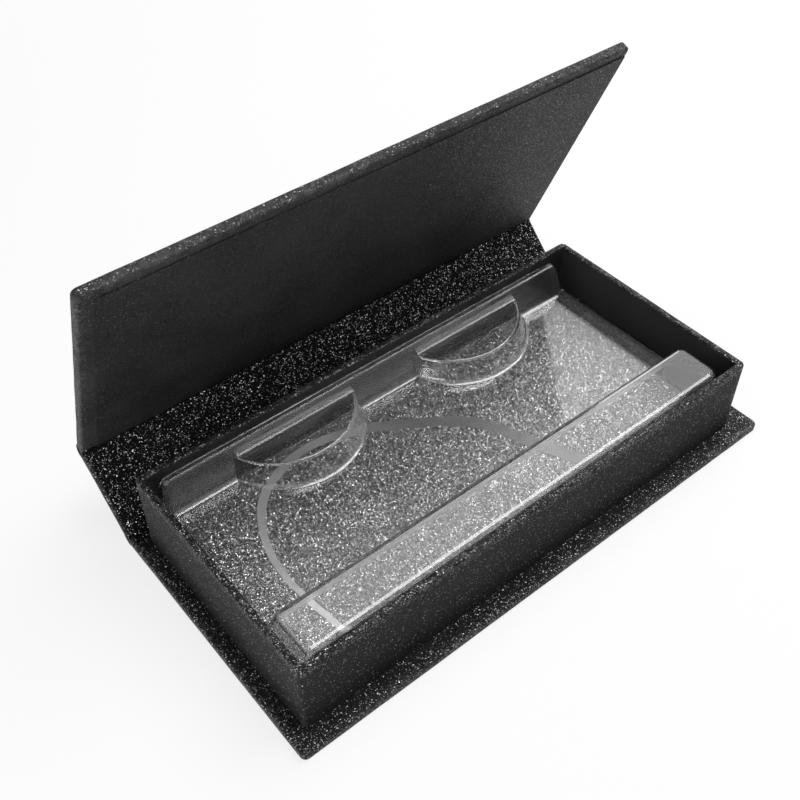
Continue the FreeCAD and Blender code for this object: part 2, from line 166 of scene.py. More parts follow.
def merge_doubles(obj: bpy.types.Object, gap: float, outward: bool = False, clean: bool = True) -> None:
    """Merge corners that lie on each other.

    Args:
        obj: The piece.
        gap: The largest distance that is merged, in millimetres.
        outward: Whether to turn the faces of a mesh outwards as well.
        clean: Whether to dissolve faces without an area as well.
    """
    bm = bmesh.new()
    bm.from_mesh(obj.data)
    bmesh.ops.remove_doubles(bm, verts=bm.verts, dist=gap * MM)
    if clean:
        bmesh.ops.dissolve_degenerate(bm, edges=bm.edges, dist=gap * MM * 0.1)
    if outward:
        bmesh.ops.recalc_face_normals(bm, faces=bm.faces)
    bm.to_mesh(obj.data)
    bm.free()


def apply_modifiers(obj: bpy.types.Object) -> None:
    """Turn a piece's live modifiers into its plain mesh."""
    depsgraph = bpy.context.evaluated_depsgraph_get()
    mesh = bpy.data.meshes.new_from_object(
        obj.evaluated_get(depsgraph), preserve_all_data_layers=True, depsgraph=depsgraph
    )
    obj.modifiers.clear()
    obj.data = mesh


def shade(obj: bpy.types.Object, angle: float = 32.0) -> None:
    """Shade a piece smooth except across edges sharper than an angle in degrees."""
    obj.data.shade_smooth()
    obj.data.set_sharp_from_angle(angle=math.radians(angle))


def thicken(obj: bpy.types.Object, gauge: float) -> None:
    """Give an open sheet its thickness behind its faces.

    Args:
        obj: The sheet.
        gauge: The thickness in millimetres.
    """
    solid = obj.modifiers.new("gauge", "SOLIDIFY")
    solid.thickness = gauge * MM
    solid.offset = -1.0
    solid.use_even_offset = True
    apply_modifiers(obj)


def face_towards(obj: bpy.types.Object, face: int, direction: Vector) -> None:
    """Flip a sheet if one of its faces looks away from a direction."""
    if obj.data.polygons[face].normal.dot(direction) < 0:
        obj.data.flip_normals()


def store(obj: bpy.types.Object, name: str, values: Sequence[float]) -> None:
    """Store one number per corner of a mesh as a named attribute."""
    layer = obj.data.attributes.new(name, "FLOAT", "POINT")
    layer.data.foreach_set("value", list(values))


def finish_piece(
    obj: bpy.types.Object, body: Body, materials: Sequence[bpy.types.Material], slot: Slot, *nodes: str
) -> None:
    """Dress a finished mesh, let it ride on a body and hide the CAD nodes it stands for.

    Args:
        obj: The piece.
        body: The body it moves with.
        materials: Its materials, in the order of its faces' material numbers.
        slot: Not used.
        nodes: The CAD nodes that it replaces.
    """
    for material in materials[len(obj.data.materials):]:
        obj.data.materials.append(material)
    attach(obj, body.value)
    if nodes:
        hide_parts(*nodes)
    LOG.info("%s: %d faces on %s", obj.name, len(obj.data.polygons), body.value)


class Wiring:
    """Adds and links the nodes of one tree."""

    def __init__(self, tree: bpy.types.NodeTree) -> None:
        """Keep the tree that is wired."""
        self.tree = tree

    def add(self, kind: str, **settings: object) -> bpy.types.Node:
        """Add a node and set its properties."""
        node = self.tree.nodes.new(kind)
        for key, value in settings.items():
            setattr(node, key, value)
        return node

    def plug(self, socket: Socket, value: object) -> None:
        """Link a socket to another one, or set its value."""
        if isinstance(value, bpy.types.NodeSocket):
            self.tree.links.new(value, socket)
        else:
            socket.default_value = value

    def feed(self, node: bpy.types.Node, inputs: dict[str | int, object]) -> None:
        """Fill a node's inputs, given by name or number."""
        for key, value in inputs.items():
            self.plug(node.inputs[key], value)

    def fill(self, kind: str, inputs: dict[str | int, object], **settings: object) -> bpy.types.NodeOutputs:
        """Add a node with its properties, fill its inputs and return its outputs."""
        node = self.add(kind, **settings)
        self.feed(node, inputs)
        return node.outputs

    def math(self, operation: str, a: object, b: object = 0.0, clamp: bool = False) -> Socket:
        """Add a Math node and return its result."""
        return self.fill("ShaderNodeMath", {0: a, 1: b}, operation=operation, use_clamp=clamp)[0]

    def vector(self, operation: str, a: object, b: object = (0, 0, 0)) -> Socket:
        """Add a Vector Math node and return its vector."""
        return self.fill("ShaderNodeVectorMath", {0: a, 1: b}, operation=operation)[0]

    def scale(self, vector: object, size: object) -> Socket:
        """Multiply a vector or colour by a number."""
        return self.fill("ShaderNodeVectorMath", {0: vector, 3: size}, operation="SCALE")[0]

    def blend(self, factor: object, a: object, b: object) -> Socket:
        """Mix two colours and return the result."""
        return self.fill("ShaderNodeMix", {0: factor, 6: a, 7: b}, data_type="RGBA")[2]

    def ramp(self, value: object, low: float, high: float, out_low: float = 0.0, out_high: float = 1.0) -> Socket:
        """Map a value's span smoothly to another span."""
        inputs = {0: value, 1: low, 2: high, 3: out_low, 4: out_high}
        return self.fill("ShaderNodeMapRange", inputs, interpolation_type="SMOOTHSTEP")[0]

    def noise(self, vector: object, scale: object, detail: float) -> Socket:
        """Add a Noise Texture and return its factor."""
        return self.fill("ShaderNodeTexNoise", {"Vector": vector, "Scale": scale, "Detail": detail})["Fac"]

    def group(self, tree: bpy.types.NodeTree, **values: object) -> bpy.types.NodeOutputs:
        """Place a node group, fill its named inputs and return its outputs."""
        return self.fill("ShaderNodeGroup", values, node_tree=tree)

    def apart(self, vector: Socket) -> bpy.types.NodeOutputs:
        """Split a vector and return its X, Y and Z."""
        return self.fill("ShaderNodeSeparateXYZ", {0: vector})

    def seen(self) -> Socket:
        """Return a mask of the rays that show a surface: camera, glossy and transmission rays."""
        path = self.add("ShaderNodeLightPath")
        shown = self.math("MAXIMUM", path.outputs["Is Camera Ray"], path.outputs["Is Glossy Ray"])
        return self.math("MAXIMUM", shown, path.outputs["Is Transmission Ray"])

    def bump(
        self, shader: bpy.types.Node, height: Socket, strength: float, relief: float, normal: Socket | None = None
    ) -> None:
        """Raise a shader's surface.

        Args:
            shader: The shader whose normal is bent.
            height: The height, from 0 to 1.
            strength: How much of it shows.
            relief: How high 1 is, in millimetres.
            normal: The normal it starts from, when that isn't the surface's own.
        """
        inputs = {"Strength": strength, "Distance": relief * MM, "Height": height}
        if normal is not None:
            inputs["Normal"] = normal
        self.plug(shader.inputs["Normal"], self.fill("ShaderNodeBump", inputs)[0])

    def show(self, factor: Socket, first: Socket, second: Socket) -> None:
        """Let a material show one shader, or a second one where a factor says so."""
        mixed = self.fill("ShaderNodeMixShader", {0: factor, 1: first, 2: second})[0]
        self.plug(self.tree.nodes["Material Output"].inputs["Surface"], mixed)


def grey(level: float) -> tuple[float, float, float, float]:
    """Give a neutral colour."""
    return level, level, level, 1.0


def new_group(
    name: str, inputs: Sequence[tuple[str, str, object]], outputs: Sequence[tuple[str, str]]
) -> tuple[Wiring, bpy.types.NodeOutputs, bpy.types.Node]:
    """Start a shader node group.

    Args:
        name: The group's name.
        inputs: Name, socket type and default of each input.
        outputs: Name and socket type of each output.

    Returns:
        The group's wiring, what it is given and the node that takes its results.
    """
    tree = bpy.data.node_groups.new(name, "ShaderNodeTree")
    for label, kind, default in inputs:
        socket = tree.interface.new_socket(name=label, in_out="INPUT", socket_type="NodeSocket" + kind)
        socket.default_value = default
    for label, kind in outputs:
        tree.interface.new_socket(name=label, in_out="OUTPUT", socket_type="NodeSocket" + kind)
    return Wiring(tree), tree.nodes.new("NodeGroupInput").outputs, tree.nodes.new("NodeGroupOutput")


class Effects:
    """Shader node groups that several finishes share."""

    def __init__(self) -> None:
        """Build the groups once."""
        self.glitter = self._glitter()
        self.grain = self._grain()
        self.wear_and_highlight = self._wear_and_highlight()

    @staticmethod
    def _glitter() -> bpy.types.NodeTree:
        """Build the group that splits a surface into tilted glitter flakes."""
        wiring, given, result = new_group(
            "glitter_flakes",
            [("Vector", "Vector", (0, 0, 0)), ("Normal", "Vector", (0, 0, 1)), ("Size", "Float", 0.00025),
             ("Share", "Float", 0.1), ("Tilt", "Float", 0.5)],
            [("Mask", "Float"), ("Shade", "Float"), ("Normal", "Vector")],
        )
        scale = wiring.math("DIVIDE", 1.0, given["Size"])
        cells = wiring.fill("ShaderNodeTexVoronoi", {"Vector": given["Vector"], "Scale": scale}, feature="F1")
        lot = wiring.fill("ShaderNodeSeparateColor", {0: cells["Color"]})
        picked = wiring.math("LESS_THAN", lot[0], given["Share"])
        spin = wiring.fill("ShaderNodeTexWhiteNoise", {"Vector": cells["Position"]}, noise_dimensions="3D")
        lean = wiring.vector("SUBTRACT", spin["Color"], (0.5, 0.5, 0.5))
        reach = wiring.math("MULTIPLY", given["Tilt"], picked)
        tilted = wiring.vector("NORMALIZE", wiring.vector("ADD", given["Normal"], wiring.scale(lean, reach)))
        wiring.feed(result, {"Mask": picked, "Shade": lot[1], "Normal": tilted})
        return wiring.tree

    @staticmethod
    def _grain() -> bpy.types.NodeTree:
        """Build the group for a paper's fine tooth and its broad uneven tone."""
        wiring, given, result = new_group(
            "paper_grain",
            [("Vector", "Vector", (0, 0, 0)), ("Tooth", "Float", 2200.0), ("Cloud", "Float", 90.0)],
            [("Height", "Float"), ("Tone", "Float")],
        )
        tooth = wiring.noise(given["Vector"], given["Tooth"], 3.0)
        cloud = wiring.noise(given["Vector"], given["Cloud"], 4.0)
        wiring.feed(result, {"Height": tooth, "Tone": wiring.ramp(cloud, 0.3, 0.7)})
        return wiring.tree

    @staticmethod
    def _wear_and_highlight() -> bpy.types.NodeTree:
        """Build the group that breaks a stored edge mask into rubbed spots: rubbed wear and painted highlights on
        rounded edges.
        """
        wiring, given, result = new_group(
            "edge_wear_and_highlight",
            [("Vector", "Vector", (0, 0, 0)), ("Edge", "Float", 0.0), ("Amount", "Float", 0.5)],
            [("Mask", "Float")],
        )
        spots = wiring.ramp(wiring.noise(given["Vector"], 700.0, 5.0), 0.42, 0.62)
        patches = wiring.ramp(wiring.noise(given["Vector"], 60.0, 2.0), 0.35, 0.65)
        mask = wiring.math("MULTIPLY", spots, patches)
        for share in ("Edge", "Amount"):
            mask = wiring.math("MULTIPLY", mask, given[share])
        wiring.feed(result, {"Mask": mask})
        return wiring.tree


# Where most of a grain's heights lie, between 0 and 1
GRAIN_SPAN = (0.2, 0.8)


@dataclass(frozen=True)
class Finish:
    """A named finish that builds one procedural material."""

    name: str
    tooth: float = 2200.0
    cloud: float = 90.0

    def _start(
        self, effects: Effects
    ) -> tuple[Wiring, bpy.types.Node, Socket, bpy.types.NodeOutputs, bpy.types.Material]:
        """Make a material that has only its grain.

        Args:
            effects: The shared node groups.

        Returns:
            Its wiring, its Principled shader, its Object coordinates, its grain and the material.
        """
        material = bpy.data.materials.new(self.name)
        material.use_nodes = True
        wiring = Wiring(material.node_tree)
        shader = material.node_tree.nodes["Principled BSDF"]
        coords = wiring.add("ShaderNodeTexCoord").outputs["Object"]
        grain = wiring.group(effects.grain, Vector=coords, Tooth=self.tooth, Cloud=self.cloud)
        return wiring, shader, coords, grain, material


@dataclass(frozen=True)
class GlitterPaper(Finish):
    """Black paper set with fine silver flakes."""

    tone: float = 0.007
    flake: float = 0.16
    share: float = 0.1
    edge_share: float = 0.12
    dim: float = 0.015
    bright: float = 0.3
    tilt: float = 0.9
    roughness: float = 0.6
    specular: float = 0.11
    relief: float = 0.05
    emboss: float = 0.35
    wear_and_highlight: float = 0.35
    mottle: float = 0.25
    contrast: float = 3.0
    flake_roughness: float = 0.42
    rubbed_and_highlit_tone: float = 0.12

    def build(self, effects: Effects) -> bpy.types.Material:
        """Build the material from the shared effects."""
        wiring, shader, coords, grain, material = self._start(effects)
        normal = wiring.add("ShaderNodeNewGeometry").outputs["Normal"]
        edge = wiring.add("ShaderNodeAttribute", attribute_name="wear_and_highlight").outputs["Fac"]
        share = wiring.math("ADD", wiring.math("MULTIPLY", edge, self.edge_share), self.share)
        flakes = wiring.group(
            effects.glitter, Vector=coords, Normal=normal, Size=self.flake * MM, Share=share, Tilt=self.tilt
        )
        # Edges are painted lighter: partly rubbed wear, partly a painted highlight along rounded edges and corners.
        rubbed_and_highlit = wiring.group(effects.wear_and_highlight, Vector=coords, Edge=edge, Amount=self.wear_and_highlight)["Mask"]
        paper = wiring.blend(grain["Tone"], grey(self.tone * (1 - self.mottle)), grey(self.tone * (1 + self.mottle)))
        shine = wiring.math("POWER", flakes["Shade"], self.contrast)
        silver = wiring.blend(shine, grey(self.dim), grey(self.bright))
        coated = wiring.blend(flakes["Mask"], paper, silver)
        wiring.feed(shader, {
            "Base Color": wiring.blend(rubbed_and_highlit, coated, grey(self.rubbed_and_highlit_tone)),
            "Metallic": flakes["Mask"],
            "Roughness": wiring.ramp(flakes["Mask"], 0.0, 1.0, self.roughness, self.flake_roughness),
            "Specular IOR Level": self.specular,
        })
        wiring.bump(shader, grain["Height"], self.emboss, self.relief, flakes["Normal"])
        return material


@dataclass(frozen=True)
class SmoothPaper(Finish):
    """Plain coated black paper inside the tray."""

    tooth: float = 1200.0
    cloud: float = 60.0
    tone: float = 0.015
    roughness: float = 0.5
    specular: float = 0.25
    mottle: float = 0.2
    uneven: float = 0.06
    emboss: float = 0.2
    relief: float = 0.02

    def build(self, effects: Effects) -> bpy.types.Material:
        """Build the material from the shared effects."""
        wiring, shader, _, grain, material = self._start(effects)
        paper = wiring.blend(grain["Tone"], grey(self.tone * (1 - self.mottle)), grey(self.tone * (1 + self.mottle)))
        keen, dull = self.roughness - self.uneven, self.roughness + self.uneven
        rough = wiring.ramp(grain["Tone"], 0.0, 1.0, keen, dull)
        wiring.feed(shader, {"Base Color": paper, "Roughness": rough, "Specular IOR Level": self.specular})
        wiring.bump(shader, grain["Height"], self.emboss, self.relief)
        return material


@dataclass(frozen=True)
class SilverGlitter(Finish):
    """Card coated all over with silver flakes."""

    tooth: float = 3000.0
    cloud: float = 45.0
    flake: float = 0.14
    dark: float = 0.05
    light: float = 0.7
    tilt: float = 1.0
    share: float = 1.1
    contrast: float = 3.4
    cloud_dim: float = 0.85
    metal: float = 0.85
    dull: float = 0.48
    keen: float = 0.23
    emboss: float = 0.3
    relief: float = 0.03

    def build(self, effects: Effects) -> bpy.types.Material:
        """Build the material from the shared effects."""
        wiring, shader, coords, grain, material = self._start(effects)
        normal = wiring.add("ShaderNodeNewGeometry").outputs["Normal"]
        flakes = wiring.group(
            effects.glitter, Vector=coords, Normal=normal, Size=self.flake * MM, Share=self.share, Tilt=self.tilt
        )
        shine = wiring.math("POWER", flakes["Shade"], self.contrast)
        silver = wiring.blend(shine, grey(self.dark), grey(self.light))
        tone = wiring.ramp(grain["Tone"], 0.0, 1.0, self.cloud_dim, 1.0)
        rough = wiring.ramp(flakes["Shade"], 0.0, 1.0, self.dull, self.keen)
        wiring.feed(shader, {"Base Color": wiring.scale(silver, tone), "Metallic": self.metal, "Roughness": rough})
        wiring.bump(shader, grain["Height"], self.emboss, self.relief, flakes["Normal"])
        return material


@dataclass(frozen=True)
class PressedBand(Finish):
    """Smooth satin band pressed on the card, with painted light at its left end and painted shade towards its right.
    """

    tooth: float = 1500.0
    cloud: float = 120.0
    # light and dark are the band's painted lit and painted shaded tones.
    light: float = 0.36
    dark: float = 0.12
    painted_light_end: float = -20.0
    painted_shade_end: float = 0.0
    cloud_tones: tuple[float, float] = (0.88, 1.08)
    metal: float = 0.3
    keen: float = 0.38
    dull: float = 0.55
    emboss: float = 0.15
    relief: float = 0.02

    def build(self, effects: Effects) -> bpy.types.Material:
        """Build the material from the shared effects."""
        wiring, shader, coords, grain, material = self._start(effects)
        # Painted light and shade: the band goes from a painted lit tone at its left end to a painted shaded tone at
        # its right.
        side = wiring.ramp(wiring.apart(coords)["X"], self.painted_light_end * MM, self.painted_shade_end * MM)
        tone = wiring.blend(side, grey(self.light), grey(self.dark))
        cloud = wiring.ramp(grain["Tone"], 0.0, 1.0, *self.cloud_tones)
        rough = wiring.ramp(grain["Height"], *GRAIN_SPAN, self.keen, self.dull)
        wiring.feed(shader, {"Base Color": wiring.scale(tone, cloud), "Metallic": self.metal, "Roughness": rough})
        wiring.bump(shader, grain["Height"], self.emboss, self.relief)
        return material


@dataclass(frozen=True)
class ClearSheet(Finish):
    """Clear thermoformed sheet with a faint haze."""

    tooth: float = 55.0
    cloud: float = 70.0
    tint: float = 0.985
    ior: float = 1.52
    flat_haze: float = 0.03
    floor_haze: float = 0.075
    wall_haze: float = 0.06
    bar_haze: float = 0.2
    uneven: float = 0.02
    floor_top: tuple[float, float] = (12.5, 15.0)
    bar_edge: tuple[float, float] = (-9.2, -8.0)
    bar_slopes: tuple[float, float] = (0.6, 0.97)
    wall_slopes: tuple[float, float] = (0.15, 0.42)
    emboss: float = 0.1
    relief: float = 0.2
    shadow: float = 0.94
    bounces: float = 2.0

    def build(self, effects: Effects) -> bpy.types.Material:
        """Build the material from the shared effects."""
        wiring, shader, coords, grain, material = self._start(effects)
        wiring.feed(shader, {"Base Color": grey(self.tint), "Transmission Weight": 1.0, "IOR": self.ior})
        flat = wiring.math("ABSOLUTE", wiring.apart(wiring.add("ShaderNodeNewGeometry").outputs["Normal"])["Z"])
        place = wiring.apart(coords)
        # The bar's slopes and crowns are hazier than the other walls, and the floor than the tops
        in_bar = wiring.ramp(place["Y"], *(y * MM for y in self.bar_edge), 1.0, 0.0)
        bar = wiring.math("MULTIPLY", in_bar, wiring.ramp(flat, *self.bar_slopes, self.bar_haze, 0.0))
        wall = wiring.ramp(flat, *self.wall_slopes, self.wall_haze, 0.0)
        drawn = wiring.math("MAXIMUM", bar, wiring.math("SUBTRACT", wall, in_bar, clamp=True))
        level = wiring.ramp(place["Z"], *(z * MM for z in self.floor_top), self.floor_haze, self.flat_haze)
        haze = wiring.math("ADD", level, wiring.ramp(grain["Tone"], 0.0, 1.0, 0.0, self.uneven))
        wiring.feed(shader, {"Roughness": wiring.math("ADD", drawn, haze)})
        wiring.bump(shader, grain["Height"], self.emboss, self.relief)
        # Light and shadow pass straight through, and so do rays that the sheet has caught
        path = wiring.add("ShaderNodeLightPath")
        through = wiring.math("MAXIMUM", path.outputs["Is Shadow Ray"], path.outputs["Is Diffuse Ray"])
        caught = wiring.math("GREATER_THAN", path.outputs["Glossy Depth"], self.bounces)
        open_air = wiring.fill("ShaderNodeBsdfTransparent", {0: grey(self.shadow)})[0]
        wiring.show(wiring.math("MAXIMUM", through, caught), shader.outputs[0], open_air)
        return material


@dataclass(frozen=True)
class Greyboard(Finish):
    """Bare recycled board inside the wraps."""

    tooth: float = 900.0
    cloud: float = 200.0
    tone: float = 0.3
    warmth: tuple[float, float, float] = (1.0, 0.96, 0.88)
    dark_share: float = 0.7
    keen: float = 0.8
    dull: float = 0.95

    def build(self, effects: Effects) -> bpy.types.Material:
        """Build the material from the shared effects."""
        wiring, shader, _, grain, material = self._start(effects)
        light = (*(self.tone * share for share in self.warmth), 1.0)
        board = wiring.blend(grain["Tone"], grey(self.tone * self.dark_share), light)
        rough = wiring.ramp(grain["Height"], *GRAIN_SPAN, self.keen, self.dull)
        wiring.feed(shader, {"Base Color": board, "Roughness": rough})
        return material


@dataclass(frozen=True)
class PlatedSteel(Finish):
    """Nickel plating of the closure magnets."""

    tooth: float = 4000.0
    cloud: float = 300.0
    tone: float = 0.6
    dark_share: float = 0.85
    keen: float = 0.22
    dull: float = 0.38

    def build(self, effects: Effects) -> bpy.types.Material:
        """Build the material from the shared effects."""
        wiring, shader, _, grain, material = self._start(effects)
        steel = wiring.blend(grain["Tone"], grey(self.tone * self.dark_share), grey(self.tone))
        rough = wiring.ramp(grain["Height"], *GRAIN_SPAN, self.keen, self.dull)
        wiring.feed(shader, {"Base Color": steel, "Roughness": rough, "Metallic": 1.0})
        return material


@dataclass
class Palette:
    """Every material of the case."""

    effects: Effects = field(default_factory=Effects)

    def __post_init__(self) -> None:
        """Build the materials."""
        self.wrap = GlitterPaper("black_glitter_wrap").build(self.effects)
        # The lid's wrap is the same black paper given a lighter tone, as painted light on the lid.
        self.lid_wrap = GlitterPaper("black_glitter_lid_wrap_painted_light", tone=0.03, bright=0.22, share=0.11).build(self.effects)
        self.ledge = GlitterPaper("black_glitter_base", share=0.22, bright=0.36).build(self.effects)
        self.lid_lining = GlitterPaper(
            "black_glitter_lid_lining", tone=0.019, share=0.2, bright=0.2, specular=0.16, wear_and_highlight=0.0, edge_share=0.0
        ).build(self.effects)
        self.spine_lining = GlitterPaper(
            "black_glitter_spine_lining", tone=0.003, share=0.16, bright=0.7, wear_and_highlight=0.0, edge_share=0.0, specular=0.05
        ).build(self.effects)
        self.tray_inside = SmoothPaper("black_smooth_paper").build(self.effects)
        self.card = SilverGlitter("silver_glitter").build(self.effects)
        self.band = PressedBand("pressed_band").build(self.effects)
        self.clear = ClearSheet("clear_sheet").build(self.effects)
        self.board = Greyboard("greyboard").build(self.effects)
        self.steel = PlatedSteel("plated_steel").build(self.effects)


def arc(start: float, stop: float, steps: int) -> list[float]:
    """Divide an angle in degrees into even steps and give radians."""
    return [math.radians(start + (stop - start) * i / steps) for i in range(steps + 1)]


def spaced(first: float, last: float, count: int) -> list[float]:
    """Divide the way from first to last into an even number of steps."""
    return [first + (last - first) * i / count for i in range(count + 1)]


# How fast hand-wrapped paper wanders, in waves per millimetre, and the seed that makes every run the same
WANDER_RATE = 0.16
WANDER_SEED = 11


def ripple(x: float, y: float, seed: float, size: float) -> Vector:
    """Give a small smooth wander for hand-wrapped paper.

    Args:
        x: Place along the piece, in millimetres.
        y: Place across it.
        seed: Which piece it is.
        size: The largest wander, in millimetres.

    Returns:
        The wander.
    """
    return noise.noise_vector(Vector((x * WANDER_RATE, y * WANDER_RATE, seed))) * size


@dataclass
class WrappedPanel:
    """A board wrapped in paper on its free edges, open at its fold or folds."""

    name: str
    node: str
    body: Body
    place: Place
    near: float
    far: float
    free_end: bool
    seed: float
    turn_in: float = 12.0
    edge_round: float = 0.42
    corner_round: float = 1.1
    wander: float = 0.05
    calm: float = 0.25
    flat_inset: float = 5.0
    shoulder: float = 1.6
    side_wear_and_highlight: float = 0.55
    shoulder_wear_and_highlight: float = 0.1
    corner_wear_and_highlight: float = 0.8
    corner_reach: float = 8.0
    side_steps: int = 26
    end_steps: int = 55

    def _rings(self) -> list[tuple[float, float, float]]:
        """Give the profile over the edge as inset, height and the weight of rubbed wear and painted highlight."""
        r, t = self.edge_round, PANEL
        rings = [(self.flat_inset, -t, 0.0), (self.shoulder, -t, 0.0)]
        rings += [(r - r * math.sin(a), -t + r - r * math.cos(a), 1.0) for a in arc(0, 90, 4)]
        rings += [(0.0, -t / 2, self.side_wear_and_highlight)]
        rings += [(r - r * math.cos(a), -r + r * math.sin(a), 1.0) for a in arc(0, 90, 4)]
        rings += [(self.shoulder, 0.0, self.shoulder_wear_and_highlight), (self.flat_inset, 0.0, 0.0)]
        return rings + [(self.turn_in, 0.0, 0.0)]

    def _outline(self, inset: float) -> list[tuple[float, float]]:
        """Give the panel's outline from its left fold corner round to its right one, set in."""
        half, r = CASE_LENGTH / 2, self.corner_round
        knee = max(r, inset) if self.free_end else 0.0
        left = [(-half + inset, u) for u in spaced(self.near, self.far - knee, self.side_steps)]
        if not self.free_end:
            return left
        reach = max(r - inset, 0.0)
        corner = [
            (-half + knee - reach * math.cos(a), self.far - knee + reach * math.sin(a)) for a in arc(0, 90, 6)[1:-1]
        ]
        top = [(x, self.far - inset) for x in spaced(-half + knee, half - knee, self.end_steps)]
        mirror = [(-x, u) for x, u in reversed(left + corner)]
        return left + corner + top + mirror

    def build(self, palette: Palette) -> bpy.types.Object:
        """Build the wrap and let it stand for its CAD node.

        Args:
            palette: The materials.

        Returns:
            The piece.
        """
        points, faces, wear_and_highlight = [], [], []
        rings = self._rings()
        count = len(self._outline(0.0))
        # A free-ended panel is one long strip round three edges; a spine is one strip over each end
        for side in ((1,) if self.free_end else (1, -1)):
            start = len(points)
            for inset, w, edge_weight in rings:
                for x, u in self._outline(inset):
                    stir = ripple(x * side, u, self.seed, self.wander * (self.calm + (1 - self.calm) * edge_weight))
                    fixed = u <= self.near + SLACK or (not self.free_end and u >= self.far - SLACK)
                    along = 0.0 if fixed else stir.y * edge_weight
                    lift = stir.z if inset < self.flat_inset else 0.0
                    points.append(self.place(side * x + stir.x * edge_weight, u + along, w + lift))
                    # Rounded edges and the corners are painted lighter, as rubbed wear and as painted highlight.
                    away = abs(abs(x) - CASE_LENGTH / 2) + abs(u - self.far)
                    wear_and_highlight.append(edge_weight * (1.0 + self.corner_wear_and_highlight * (1.0 - min(away / self.corner_reach, 1.0))))
            for k in range(len(rings) - 1):
                for i in range(count - 1):
                    a = start + k * count + i
                    quad = (a, a + 1, a + count + 1, a + count)
                    faces.append(quad if side > 0 else quad[::-1])
        underside = tuple(range(count))
        if not self.free_end:
            underside += tuple(len(points) // 2 + i for i in reversed(underside))
        obj = make_object(self.name, points, [underside, *faces])
        store(obj, "wear_and_highlight", wear_and_highlight)
        merge_doubles(obj, 0.002, outward=True, clean=False)
        largest = max(obj.data.polygons, key=lambda p: p.area).index
        face_towards(obj, largest, Vector(self.place(0, 1, -1)) - Vector(self.place(0, 1, 0)))
        thicken(obj, PAPER)
        shade(obj)
        paper = {Body.BASE: palette.ledge, Body.LID: palette.lid_wrap}.get(self.body, palette.wrap)
        finish_piece(obj, self.body, [paper], Slot.PAPER, self.node)
        return obj


# Material numbers of the tray's wrap
OUTSIDE, INSIDE, RIM = range(3)


@dataclass
class TrayWrap:
    """The paper over the tray's walls: outside, top edge and inside."""

    left: float = -52.0
    right: float = 50.0
    front: float = -23.1
    back: float = 24.6
    foot: float = PANEL
    top: float = 18.36
    inner_foot: float = 3.06
    wall: float = 1.3
    corner: float = 1.05
    edge_round: float = 0.34
    wander: float = 0.04
    seed: float = 7.3
    outer_levels: tuple[float, float] = (1.2, 2.0)
    inner_level: float = 1.1
    rim_wear_and_highlight: tuple[float, float] = (1.0, 0.8)
    upright_wear_and_highlight: float = 0.9
    upright_reach: float = 1.6
    most_wear_and_highlight: float = 1.6
    long_steps: int = 51
    short_steps: int = 24

    def _outline(self, inset: float) -> list[tuple[float, float]]:
        """Give the closed outline, set in."""
        knee, reach = max(self.corner, inset), max(self.corner - inset, 0.0)
        x0, x1, y0, y1 = self.left + knee, self.right - knee, self.front + knee, self.back - knee
        sides = (
            ([(x, y0 - reach) for x in spaced(x0, x1, self.long_steps)], x1, y0, -90),
            ([(x1 + reach, y) for y in spaced(y0, y1, self.short_steps)], x1, y1, 0),
            ([(x, y1 + reach) for x in spaced(x1, x0, self.long_steps)], x0, y1, 90),
            ([(x0 - reach, y) for y in spaced(y1, y0, self.short_steps)], x0, y0, 180),
        )
        outline = []
        for run, cx, cy, angle in sides:
            outline += run
            outline += [
                (cx + reach * math.cos(a), cy + reach * math.sin(a)) for a in arc(angle, angle + 90, 6)[1:-1]
            ]
        return outline

    def build(self, palette: Palette) -> bpy.types.Object:
        """Build the wrap and let it stand for its CAD node."""
        r, rim, wall = self.edge_round, self.top - self.edge_round, self.wall
        outer_wear_and_highlight, inner_wear_and_highlight = self.rim_wear_and_highlight
        low, high = self.outer_levels
        rings = [(0.0, z, 0.0, OUTSIDE) for z in (self.foot, self.foot + low, self.top - high)]
        rings += [(r - r * math.cos(a), rim + r * math.sin(a), outer_wear_and_highlight, RIM) for a in arc(0, 90, 4)]
        rings += [(wall - r + r * math.sin(a), rim + r * math.cos(a), inner_wear_and_highlight, RIM) for a in arc(0, 90, 4)]
        rings += [(wall, z, 0.0, INSIDE) for z in (self.top - self.inner_level, self.inner_foot)]
        points, wear_and_highlight = [], []
        for inset, z, edge_weight, _ in rings:
            for x, y in self._outline(inset):
                stir = ripple(x, y, self.seed, self.wander * edge_weight)
                points.append((x + stir.x, y + stir.y, z + stir.z))
                near_x = min(abs(x - self.left), abs(x - self.right))
                near_y = min(abs(y - self.front), abs(y - self.back))
                # The rim's rounding and the upright corners are painted lighter, as rubbed wear and as painted
                # highlight.
                upright = max(0.0, 1.0 - max(near_x, near_y) / self.upright_reach)
                wear_and_highlight.append(min(self.most_wear_and_highlight, edge_weight + self.upright_wear_and_highlight * upright))
        count = len(points) // len(rings)
        faces = ring_quads(len(rings), count)
        obj = make_object("tray_wrap_paper", points, faces)
        store(obj, "wear_and_highlight", wear_and_highlight)
        finishes = [palette.wrap, palette.tray_inside, palette.ledge]
        for material in finishes:
            obj.data.materials.append(material)
        for polygon in obj.data.polygons:
            polygon.material_index = rings[polygon.index // count + 1][3]
        face_towards(obj, 0, Vector((0, -1, 0)))
        merge_doubles(obj, 0.002)
        thicken(obj, PAPER)
        shade(obj)
        finish_piece(obj, Body.BASE, finishes, Slot.PAPER, "tray_wrap")
        return obj


